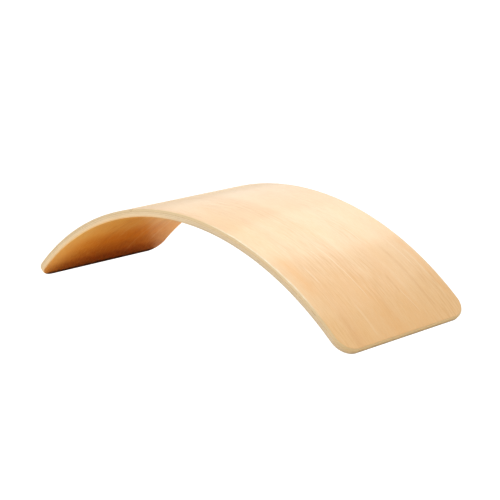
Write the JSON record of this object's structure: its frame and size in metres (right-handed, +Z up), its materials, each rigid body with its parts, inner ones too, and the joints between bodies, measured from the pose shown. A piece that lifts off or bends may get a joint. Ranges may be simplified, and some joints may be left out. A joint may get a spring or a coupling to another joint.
{
  "type": "curved balance board",
  "caption": "Curved bent-plywood balance board with rounded corners, which rocks on its convex face or stands as a low arch.",
  "frame": {"origin": "on the floor under the crest, at the middle of the board's footprint as it stands as an arch", "axes": "+X along the board's length, +Y across its width, +Z up through the crest of the convex face"},
  "size_m": [0.7998, 0.3, 0.1765],
  "materials": {
    "face_veneer": "beech face veneer, fine straight grain along the board, satin clear lacquer",
    "core_long_grain": "beech core veneer with its grain along the board, sanded and lacquered edge",
    "core_cross_grain": "beech core veneer with its grain across the board, darker end grain on the long edges, sanded and lacquered"
  },
  "bodies": {
    "root": {"top_face_veneer": "face_veneer", "core_ply_1_cross": "core_cross_grain", "core_ply_2_long": "core_long_grain", "core_ply_3_cross": "core_cross_grain", "core_ply_4_long": "core_long_grain", "core_ply_5_cross": "core_cross_grain", "core_ply_6_long": "core_long_grain", "core_ply_7_cross": "core_cross_grain", "core_ply_8_long": "core_long_grain", "core_ply_9_cross": "core_cross_grain", "underside_face_veneer": "face_veneer"}
  },
  "joints": []
}
